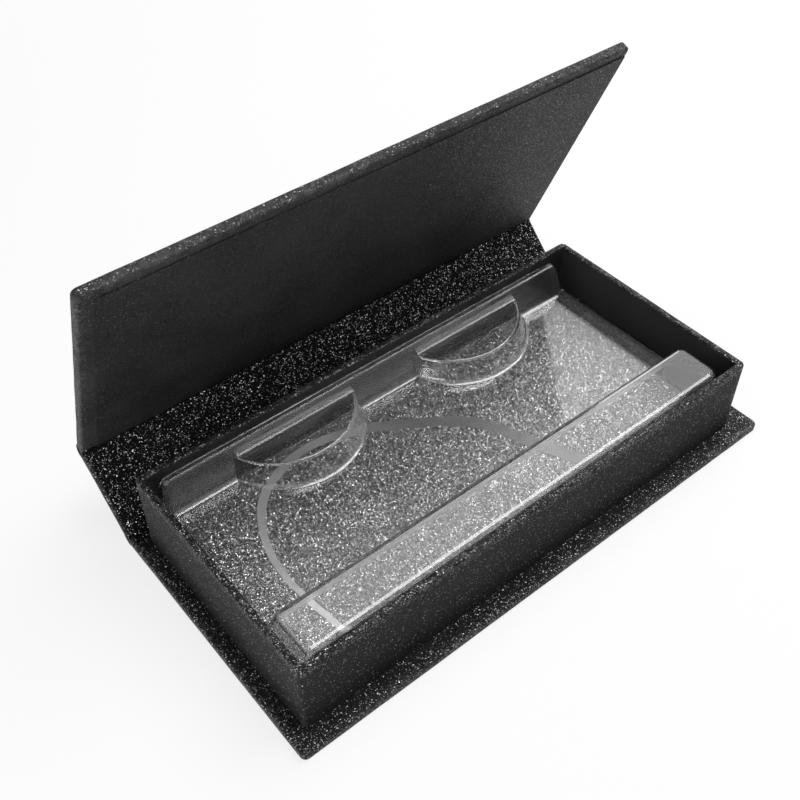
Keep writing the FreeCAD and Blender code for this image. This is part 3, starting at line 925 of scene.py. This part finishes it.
@dataclass
class FoldPaper:
    """Paper that bends round one fold, outside and inside."""

    name: str
    node: str
    parent: Body
    child: Body
    fold_y: float
    fold_z: float
    before: float
    turn: float
    parent_run: float
    child_run: float = 0.93
    length: float = CASE_LENGTH
    tuck_set: float = 0.12
    overlap: tuple[float, ...] = (0.2, 0.5, 0.85)
    overlap_set: float = 0.02
    crease_lift: float = 0.1
    crease_gap: float = 0.12
    crease_gauge: float = 0.18
    crease_short: float = 0.7
    bend_steps: int = 12
    length_steps: int = 28

    def _spot(self, angle: float, along: float, down: float) -> tuple[float, float]:
        """Give a point of a panel turned to an angle, as Y and Z."""
        y = self.fold_y + along * math.cos(angle) + down * math.sin(angle)
        return y, self.fold_z + along * math.sin(angle) - down * math.cos(angle)

    def _strip(self, name: str, line: Sequence[tuple[float, float]], gauge: float, half: float) -> bpy.types.Object:
        """Make a closed strip of paper along X.

        Args:
            name: The strip's name.
            line: Its section's middle line as Y and Z.
            gauge: Its thickness.
            half: Half of its length.

        Returns:
            The strip.
        """
        loop = []
        for sign in (1, -1):
            for i, (y, z) in enumerate(line):
                y0, z0 = line[max(i - 1, 0)]
                y1, z1 = line[min(i + 1, len(line) - 1)]
                size = math.hypot(y1 - y0, z1 - z0)
                ny, nz = -(z1 - z0) / size, (y1 - y0) / size
                loop.append((y + sign * ny * gauge / 2, z + sign * nz * gauge / 2))
        count = len(line)
        ring = loop[:count] + loop[count:][::-1]
        xs, size = spaced(-half, half, self.length_steps), len(ring)
        points = [(x, y, z) for x in xs for y, z in ring]
        faces = ring_quads(len(xs), size)
        faces += [tuple(range(size)), tuple(range(len(points) - size, len(points)))]
        obj = make_object(name, points, faces)
        merge_doubles(obj, 0.001, outward=True)
        shade(obj, 40.0)
        return obj

    def _tuck(self, name: str, side: int) -> bpy.types.Object:
        """Make the tucked-in paper that closes one end of the fold.

        Args:
            name: The tuck's name.
            side: 1 for the right end, -1 for the left one.

        Returns:
            The tuck, a thin closed wedge between the two boards.
        """
        a0, a1 = self.before, self.before + self.turn
        radius = PANEL - PAPER
        line = [self._spot(a0, -FOLD_GAP, 0.0), self._spot(a0, -FOLD_GAP, radius)]
        line += [self._spot(a, 0.0, radius) for a in spaced(a0, a1, 10)]
        line += [self._spot(a1, FOLD_GAP, radius), self._spot(a1, FOLD_GAP, 0.0), (self.fold_y, self.fold_z)]
        end = self.length / 2 - self.tuck_set
        outside, inside = side * end, side * (end - PAPER)
        points = [(x, y, z) for x in (outside, inside) for y, z in line]
        count = len(line)
        hub = count - 1
        faces = [(i, i + 1, hub) for i in range(hub - 1)]
        faces += [(count + i + 1, count + i, count + hub) for i in range(hub - 1)]
        faces += [(i, count + i, count + (i + 1) % count, (i + 1) % count) for i in range(count)]
        obj = make_object(name, points, faces)
        merge_doubles(obj, 0.001, outward=True)
        return obj

    def build(self, palette: Palette) -> None:
        """Build the outer bend, the inner crease and the tucked ends."""
        a0, a1 = self.before, self.before + self.turn
        radius = PANEL - PAPER / 2
        bend = [self._spot(a, 0.0, radius) for a in spaced(a0, a1, self.bend_steps)]
        bend += [self._spot(a1, d, radius + self.overlap_set) for d in self.overlap]
        outer = self._strip(f"{self.name}_bend", bend, PAPER, self.length / 2)
        runs = (self.parent_run, self.parent_run / 2, self.crease_gap)
        crease = [self._spot(a0, -d, -self.crease_lift) for d in runs]
        runs = (self.crease_gap, self.child_run / 2, self.child_run)
        crease += [self._spot(a1, d, -self.crease_lift) for d in runs]
        inner = self._strip(f"{self.name}_crease", crease, self.crease_gauge, self.length / 2 - self.crease_short)
        tucks = [self._tuck(f"{self.name}_tuck_{word}", side) for word, side in (("left", -1), ("right", 1))]
        for obj, start, end in (
            (outer, bend[0], bend[self.bend_steps]),
            (inner, crease[1], crease[4]),
            *((tuck, bend[0], bend[self.bend_steps]) for tuck in tucks),
        ):
            obj.data.materials.append(palette.spine_lining if obj is inner else palette.wrap)
            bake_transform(obj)
        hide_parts(self.node)


# The tightest crown that a wall's inner face keeps, in millimetres
LEAST_CROWN = 0.08


@dataclass(frozen=True)
class Wall:
    """One drafted wall: how far it leans in by its top, its rounded crown and its hollow foot."""

    lean: float
    crown: float = 0.5
    foot: float = 0.0

    def inset(self, z: float, height: float) -> float:
        """Give how far the wall stands in.

        Args:
            z: Height over the wall's foot.
            height: The wall's full height.

        Returns:
            The inset from the wall's foot line.
        """
        slope = self.lean / height
        length = math.hypot(1.0, slope)
        if self.foot > 0 and z < self.foot * (1 - slope / length):
            return self.foot * (slope - length) + math.sqrt(max(self.foot**2 - (z - self.foot) ** 2, 0.0))
        if self.crown > 0 and z > height - self.crown * (1 - slope / length):
            rise = z - height + self.crown
            return slope * (height - self.crown) + self.crown * length - math.sqrt(max(self.crown**2 - rise**2, 0.0))
        return slope * z

    def behind(self, height: float, gauge: float) -> float:
        """Give how far the sheet's inner face starts behind the outer one, one gauge lower down."""
        slope = self.lean / height
        return gauge * (math.hypot(1.0, slope) - slope)

    def inner(self, gauge: float) -> "Wall":
        """Give the wall of the sheet's inner face."""
        return Wall(self.lean, max(self.crown - gauge, LEAST_CROWN), self.foot + gauge if self.foot > 0 else 0.0)


@dataclass
class LashTray:
    """Clear formed tray with skirt, floor, back rail, front bar and two half-moon platforms."""

    left: float = -50.1
    right: float = 46.3
    front: float = -21.3
    back: float = 22.75
    foot: float = 6.86
    floor: float = 11.01
    top: float = 17.41
    draft: float = 0.08
    rail_depth: float = 3.68
    bar_depth: float = 11.73
    skirt_wall: Wall = Wall(0.08, 0.55)
    rail_front: Wall = Wall(2.1, 0.6, 1.25)
    rail_end: Wall = Wall(1.35, 2.1)
    bar_back: Wall = Wall(2.15, 1.25, 0.9)
    bar_end: Wall = Wall(1.35, 1.2)
    bar_right: Wall = Wall(0.55, 1.2)
    bar_front: Wall = Wall(0.3, 1.2)
    outside: Wall = Wall(0.08, 0.5)
    platform_x: tuple[float, float] = (-21.9, 19.1)
    platform_height: float = 4.4
    platform_radius: float = 14.2
    platform_wall: Wall = Wall(0.8, 0.5, 0.85)
    platform_set: float = 2.9
    platform_lean: float = 1.2
    chord_round: float = 1.8
    inner_clear: float = 0.1
    chord_set: float = 0.95
    chord_short: float = 0.45
    platform_sink: float = 0.4
    gauge: float = 0.4
    sink: float = 1.3
    floor_radii: tuple[float, ...] = (1.3, 2.4, 1.3, 1.3)
    rail_radii: tuple[float, ...] = (2.2, 2.2, 1.2, 1.2)
    bar_radii: tuple[float, ...] = (1.2, 2.8, 1.8, 1.3)
    radius_taper: float = 0.25
    radius_room: float = 0.48
    least_radius: float = 0.12
    least_inner_radius: float = 0.3

    @staticmethod
    def _levels(height: float, walls: Sequence[Wall]) -> list[float]:
        """Give the heights at which a form with these walls needs a ring."""
        levels = {0.0, round(height, 4)}
        for wall in walls:
            if wall.foot > 0:
                levels |= {round(wall.foot * (1 - math.cos(a)), 4) for a in arc(0, 75, 6)}
            levels |= {round(height - wall.crown * (1 - math.sin(a)), 4) for a in arc(0, 90, 6)}
        return sorted(levels)

    @staticmethod
    def _rounded(
        x0: float, x1: float, y0: float, y1: float, radii: Sequence[float], steps: int = 7
    ) -> list[tuple[float, float]]:
        """Give a rectangle with rounded corners, counter-clockwise from its front left."""
        corners = ((x0, y0, 1, 1, 180), (x1, y0, -1, 1, 270), (x1, y1, -1, -1, 0), (x0, y1, 1, -1, 90))
        outline = []
        for (x, y, sx, sy, angle), r in zip(corners, radii):
            cx, cy = x + sx * r, y + sy * r
            outline += [(cx + r * math.cos(a), cy + r * math.sin(a)) for a in arc(angle, angle + 90, steps)]
        return outline

    @staticmethod
    def _loft(name: str, rings: Sequence[tuple[Sequence[tuple[float, float]], float]]) -> bpy.types.Object:
        """Make a closed solid through rings that have the same number of points."""
        count = len(rings[0][0])
        points = [(x, y, z) for ring, z in rings for x, y in ring]
        ends = [tuple(reversed(range(count))), tuple(range(len(points) - count, len(points)))]
        obj = make_object(name, points, ends + ring_quads(len(rings), count))
        merge_doubles(obj, 0.001, outward=True)
        return obj

    def _block(
        self, name: str, box: tuple[float, float, float, float], walls: Sequence[Wall], z0: float, height: float,
        radii: Sequence[float], deep: float, inner: float,
    ) -> bpy.types.Object:
        """Make a raised form with four drafted walls, or its inner face when a gauge is given.

        Args:
            name: The form's name.
            box: Left, right, front and back of its foot.
            walls: The walls in the same order.
            z0: Height of its foot.
            height: Its own height.
            radii: Corner radii at its foot, from the front left round.
            deep: How far it runs on under its foot.
            inner: The gauge that it is set back by, or 0.

        Returns:
            The closed form.
        """
        if inner:
            behind = (wall.behind(height, inner) for wall in walls)
            box = tuple(edge + sign * b for edge, sign, b in zip(box, (1, -1, 1, -1), behind))
            walls = [wall.inner(inner) for wall in walls]
            radii = [max(self.least_inner_radius, r - inner) for r in radii]
            z0 -= inner
        rings = []
        for z in self._levels(height, walls):
            left, right, front, back = (wall.inset(z, height) for wall in walls)
            extra = max(0.0, min(w.inset(z, height) - w.lean / height * z for w in walls))
            x0, x1, y0, y1 = box[0] + left, box[1] - right, box[2] + front, box[3] - back
            room, taper = self.radius_room * min(x1 - x0, y1 - y0), 1 - self.radius_taper * z / height
            round_off = [min(room, max(self.least_radius, r * taper - extra)) for r in radii]
            rings.append((self._rounded(x0, x1, y0, y1, round_off), z0 + z))
        return self._loft(name, [(rings[0][0], z0 - deep), *rings])

    def _moon(self, name: str, x: float, inner: float) -> bpy.types.Object:
        """Make one platform, or its inner face when a gauge is given."""
        wall = self.platform_wall.inner(inner) if inner else self.platform_wall
        height, chord = self.platform_height, self.back - self.chord_set
        shrink = self.platform_wall.behind(height, inner) + self.inner_clear * inner
        rings = []
        for z in self._levels(height, [wall]):
            s = z / height
            y = self.back + self.platform_set - self.platform_lean * (1 - s)
            radius = self.platform_radius + wall.lean - shrink - wall.inset(z, height)
            half = math.asin(min(1.0, (y - chord) / radius))
            outline = [
                (x + radius * math.cos(a), y + radius * math.sin(a))
                for a in arc(180 + math.degrees(half), 360 - math.degrees(half), 60)
            ]
            rings.append((outline, self.floor - inner + z))
        return self._loft(name, [(rings[0][0], self.floor - inner - self.platform_sink), *rings])

    def _chord_fillet(self, name: str, x: float) -> bpy.types.Object:
        """Make the hollow fillet where a platform's top meets the rail."""
        rise, r = self.platform_height, self.chord_round
        slope = self.rail_front.lean / (self.top - self.floor)
        length = math.hypot(1.0, slope)
        crease = self.back - self.draft - self.rail_depth + slope * rise
        y0, z0 = crease + slope * r - r * length, self.floor + rise + r
        turn = 90 - math.degrees(math.atan(slope))
        section = [(y0 + r * math.sin(a), z0 - r * math.cos(a)) for a in arc(0, turn, 8)]
        # The rest of the section lies inside the rail and the platform
        tip_y, tip_z = section[-1]
        foot = self.floor + rise - 0.2
        section += [(tip_y + 0.5, tip_z - 0.1), (crease + 0.5, foot), (y0, foot)]
        reach = self.back + self.platform_set - crease
        half = math.sqrt(self.platform_radius**2 - reach**2) - self.chord_short
        count = len(section)
        points = [(x + side * half, y, z) for side in (-1, 1) for y, z in section]
        ends = [tuple(range(count)), tuple(range(2 * count - 1, count - 1, -1))]
        obj = make_object(name, points, ends + ring_quads(2, count))
        merge_doubles(obj, 0.001, outward=True)
        return obj

    def _forms(self, inner: float) -> list[bpy.types.Object]:
        """Make the overlapping forms of the sheet's outer face, or of its inner face for a gauge."""
        tag = "inner" if inner else "outer"
        rise, d = self.top - self.floor, self.draft
        l1, r1, f1, b1 = self.left + d, self.right - d, self.front + d, self.back - d
        plan = (
            ("floor", (self.left, self.right, self.front, self.back), [self.skirt_wall] * 4,
             self.foot, self.floor - self.foot, self.floor_radii, 1.0 if inner else 0.0),
            ("rail", (l1, r1, b1 - self.rail_depth, b1), (self.rail_end, self.rail_end, self.rail_front, self.outside),
             self.floor, rise, self.rail_radii, self.sink),
            ("bar", (l1, r1, f1, f1 + self.bar_depth), (self.bar_end, self.bar_right, self.bar_front, self.bar_back),
             self.floor, rise, self.bar_radii, self.sink),
        )
        forms = [self._block(f"{tag}_{name}", *form, inner) for name, *form in plan]
        forms += [self._moon(f"{tag}_moon_{i}", x, inner) for i, x in enumerate(self.platform_x)]
        if not inner:
            forms += [self._chord_fillet(f"chord_{i}", x) for i, x in enumerate(self.platform_x)]
        return forms

    @staticmethod
    def _combine(first: bpy.types.Object, others: Sequence[bpy.types.Object], operation: str) -> None:
        """Join or cut forms into the first one and remove the others."""
        for other in others:
            step = first.modifiers.new(other.name, "BOOLEAN")
            step.operation, step.solver, step.object = operation, "EXACT", other
        apply_modifiers(first)
        for other in others:
            bpy.data.objects.remove(other)

    def build(self, palette: Palette) -> bpy.types.Object:
        """Build the tray and let it stand for its CAD node."""
        sheet, *raised = self._forms(0.0)
        hollow, *hollows = self._forms(self.gauge)
        self._combine(sheet, raised, "UNION")
        self._combine(hollow, hollows, "UNION")
        self._combine(sheet, [hollow], "DIFFERENCE")
        sheet.name = "lash_tray_sheet"
        merge_doubles(sheet, 0.004)
        shade(sheet, 34.0)
        level = sheet.modifiers.new("flat_faces_first", "WEIGHTED_NORMAL")
        level.keep_sharp, level.weight = True, 100
        apply_modifiers(sheet)
        finish_piece(sheet, Body.BASE, [palette.clear], Slot.CLEAR, "lash_tray")
        return sheet


@dataclass
class CardBand:
    """Smooth arch pressed on the silver card, made along a path by geometry nodes."""

    level: float = 6.86
    gauge: float = 0.03
    steps: int = 160
    path: tuple[tuple[float, float, float], ...] = (
        (-37.5, -20.9, 1.1), (-38.6, -14.0, 1.1), (-39.6, -6.0, 1.2), (-39.7, 0.0, 1.2), (-38.6, 6.0, 1.3),
        (-36.4, 11.0, 1.5), (-32.8, 15.6, 1.7), (-27.5, 18.8, 1.8), (-21.0, 20.2, 1.8), (-14.0, 19.3, 2.0),
        (-7.5, 16.6, 2.3), (0.0, 12.0, 2.5), (5.0, 8.6, 2.5), (9.5, 3.8, 2.6), (12.0, -1.5, 2.7),
        (13.8, -6.0, 2.8), (16.0, -11.0, 2.9), (18.5, -17.0, 3.0), (19.5, -20.9, 3.0),
    )

    def _tree(self) -> bpy.types.NodeTree:
        """Build the tree that sweeps a thin flat section along a curve, as wide as the curve's radius says."""
        tree = bpy.data.node_groups.new("band_along_path", "GeometryNodeTree")
        for name, kind in (("Path", "Geometry"), ("Gauge", "Float"), ("Finish", "Material")):
            tree.interface.new_socket(name=name, in_out="INPUT", socket_type="NodeSocket" + kind)
        tree.interface.new_socket(name="Band", in_out="OUTPUT", socket_type="NodeSocketGeometry")
        wiring = Wiring(tree)
        given, result = wiring.add("NodeGroupInput").outputs, wiring.add("NodeGroupOutput")
        even = wiring.fill("GeometryNodeResampleCurve", {"Curve": given["Path"], "Count": self.steps})
        upright = wiring.fill("GeometryNodeSetCurveNormal", {"Curve": even["Curve"]}, mode="Z_UP")
        section = wiring.fill("GeometryNodeCurvePrimitiveQuadrilateral", {"Width": MM, "Height": given["Gauge"]})
        radius = wiring.add("GeometryNodeInputRadius").outputs[0]
        sweep = wiring.fill("GeometryNodeCurveToMesh", {
            "Curve": upright["Curve"], "Profile Curve": section["Curve"], "Fill Caps": True, "Scale": radius,
        })
        real = wiring.fill("GeometryNodeRealizeInstances", {"Geometry": sweep["Mesh"]})
        dress = wiring.fill("GeometryNodeSetMaterial", {"Geometry": real["Geometry"], "Material": given["Finish"]})
        wiring.feed(result, {"Band": dress["Geometry"]})
        return tree

    def build(self, palette: Palette) -> bpy.types.Object:
        """Build the band on the card."""
        curve = bpy.data.curves.new("band_path", "CURVE")
        curve.dimensions = "3D"
        spline = curve.splines.new("BEZIER")
        spline.bezier_points.add(len(self.path) - 1)
        for knot, (x, y, width) in zip(spline.bezier_points, self.path):
            knot.co = (x * MM, y * MM, (self.level + self.gauge / 2) * MM)
            knot.handle_left_type = knot.handle_right_type = "AUTO"
            knot.radius = width
        carrier = add_object("band_carrier", curve)
        tree = self._tree()
        modifier = carrier.modifiers.new("band", "NODES")
        modifier.node_group = tree
        names = {item.name: item.identifier for item in tree.interface.items_tree if item.in_out == "INPUT"}
        modifier[names["Gauge"]] = self.gauge * MM
        modifier[names["Finish"]] = palette.band
        depsgraph = bpy.context.evaluated_depsgraph_get()
        mesh = bpy.data.meshes.new_from_object(carrier.evaluated_get(depsgraph), depsgraph=depsgraph)
        bpy.data.objects.remove(carrier)
        obj = add_object("card_band", mesh)
        shade(obj)
        finish_piece(obj, Body.BASE, [palette.band], Slot.CARD)
        return obj


@dataclass
class CadDress:
    """Finishes of the CAD nodes that show as they are."""

    def build(self, palette: Palette) -> None:
        """Give every remaining CAD node its material."""
        plan = {
            "lid_lining": palette.lid_lining,
            "spine_lining": palette.spine_lining,
            "tray_floor_lining": palette.spine_lining,
            "glitter_card": palette.card,
        }
        for node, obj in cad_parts.items():
            material = plan.get(node)
            if material is None:
                material = palette.steel if "magnet" in node else palette.board
            obj.data.materials.clear()
            obj.data.materials.append(material)


@dataclass
class Studio:
    """Pale floor, soft light and the photograph's camera."""

    eye: Point = (-91.71, -94.64, 157.58)
    look: Point = (0.4422, 0.5402, -0.716)
    lens: float = 48.7
    sensor: float = 36.0
    clip: tuple[float, float] = (0.005, 10.0)
    floor_half: float = 900.0
    floor_drop: float = 0.02
    floor_tone: float = 0.85
    floor_roughness: float = 0.9
    floor_fade: tuple[float, float] = (150.0, 400.0)
    floor_glow: float = 0.8
    world_light: float = 0.17

    def _floor(self) -> None:
        """Lay a wide pale floor that shows white to the camera and keeps a soft shadow."""
        half, z = self.floor_half, -self.floor_drop
        corners = [(-half, -half, z), (half, -half, z), (half, half, z), (-half, half, z)]
        obj = make_object("studio_floor", corners, [(0, 1, 2, 3)])
        material = bpy.data.materials.new("studio_white")
        material.use_nodes = True
        wiring = Wiring(material.node_tree)
        shader = material.node_tree.nodes["Principled BSDF"]
        wiring.feed(shader, {"Base Color": grey(self.floor_tone), "Roughness": self.floor_roughness})
        coords = wiring.add("ShaderNodeTexCoord").outputs["Object"]
        away = wiring.fill("ShaderNodeVectorMath", {0: coords}, operation="LENGTH")["Value"]
        share = wiring.ramp(away, *(d * MM for d in self.floor_fade), self.floor_glow, 1.0)
        glow = wiring.add("ShaderNodeEmission").outputs[0]
        wiring.show(wiring.math("MULTIPLY", wiring.seen(), share), shader.outputs[0], glow)
        obj.data.materials.append(material)

    def _world(self) -> None:
        """Surround the case with even white light."""
        world = bpy.data.worlds.new("studio_world")
        bpy.context.scene.world = world
        world.use_nodes = True
        wiring = Wiring(world.node_tree)
        background = world.node_tree.nodes["Background"]
        strength = wiring.ramp(wiring.seen(), 0.0, 1.0, self.world_light, 1.0)
        wiring.feed(background, {"Color": grey(1.0), "Strength": strength})

    @staticmethod
    def _panel(name: str, at: Point, size: tuple[float, float], radiance: float, aim: bool = False) -> None:
        """Hang a soft panel that looks straight down or at the case.

        Args:
            name: The panel's name.
            at: Its place in millimetres.
            size: Its sides in millimetres.
            radiance: How bright its face is.
            aim: Whether it is turned to the case.
        """
        light = bpy.data.lights.new(name, "AREA")
        light.shape = "RECTANGLE"
        light.size, light.size_y = size[0] * MM, size[1] * MM
        light.energy = math.pi * light.size * light.size_y * radiance
        lamp = add_object(name, light)
        lamp.location = [c * MM for c in at]
        if aim:
            middle = Vector((0, 5 * MM, 15 * MM))
            lamp.rotation_euler = (middle - lamp.location).to_track_quat("-Z", "Y").to_euler()

    def _camera(self) -> None:
        """Set the camera where the photograph was taken."""
        data = bpy.data.cameras.new("photo_camera")
        data.lens, data.sensor_width = self.lens, self.sensor
        data.clip_start, data.clip_end = self.clip
        camera = add_object("photo_camera", data)
        camera.location = [c * MM for c in self.eye]
        camera.rotation_euler = Vector(self.look).to_track_quat("-Z", "Y").to_euler()
        bpy.context.scene.camera = camera

    def build(self) -> None:
        """Set up the whole studio."""
        self._floor()
        self._world()
        self._panel("strip_over", (260.0, 0.0, 500.0), (500.0, 400.0), 5.6)
        self._panel("soft_behind", (400, 355, 600), (600, 250), 0.8)
        self._panel("fill_left", (-330, -150, 60), (200, 110), 12.0, aim=True)
        self._camera()
        bpy.context.scene.view_settings.view_transform = "Standard"


def main() -> None:
    """Build and dress the case, piece by piece."""
    logging.basicConfig(level=logging.INFO, format="%(name)s %(message)s")
    noise.seed_set(WANDER_SEED)
    Studio().build()
    palette = Palette()
    CadDress().build(palette)
    panels = (
        WrappedPanel("base_wrap_paper", "base_wrap", Body.BASE, base_place, 0.0, BASE_DEPTH, True, 1.7),
        WrappedPanel("spine_wrap_paper", "spine_wrap", Body.SPINE, SPINE_PLACE, FOLD_GAP, SPINE_HEIGHT, False, 3.1),
        WrappedPanel("lid_wrap_paper", "lid_wrap", Body.LID, LID_PLACE, FOLD_GAP, LID_DEPTH, True, 5.9),
    )
    for panel in panels:
        panel.build(palette)
    TrayWrap().build(palette)
    folds = (
        FoldPaper("base_hinge", "base_fold", Body.BASE, Body.SPINE, FOLD_Y, FOLD_Z, 0.0, SPINE_TURN, 1.6),
        FoldPaper("lid_hinge", "lid_fold", Body.SPINE, Body.LID, LID_FOLD_Y, LID_FOLD_Z, SPINE_TURN, LID_TURN, 0.58),
    )
    for fold in folds:
        fold.build(palette)
    LashTray().build(palette)
    CardBand().build(palette)


if __name__ == "__main__":
    main()
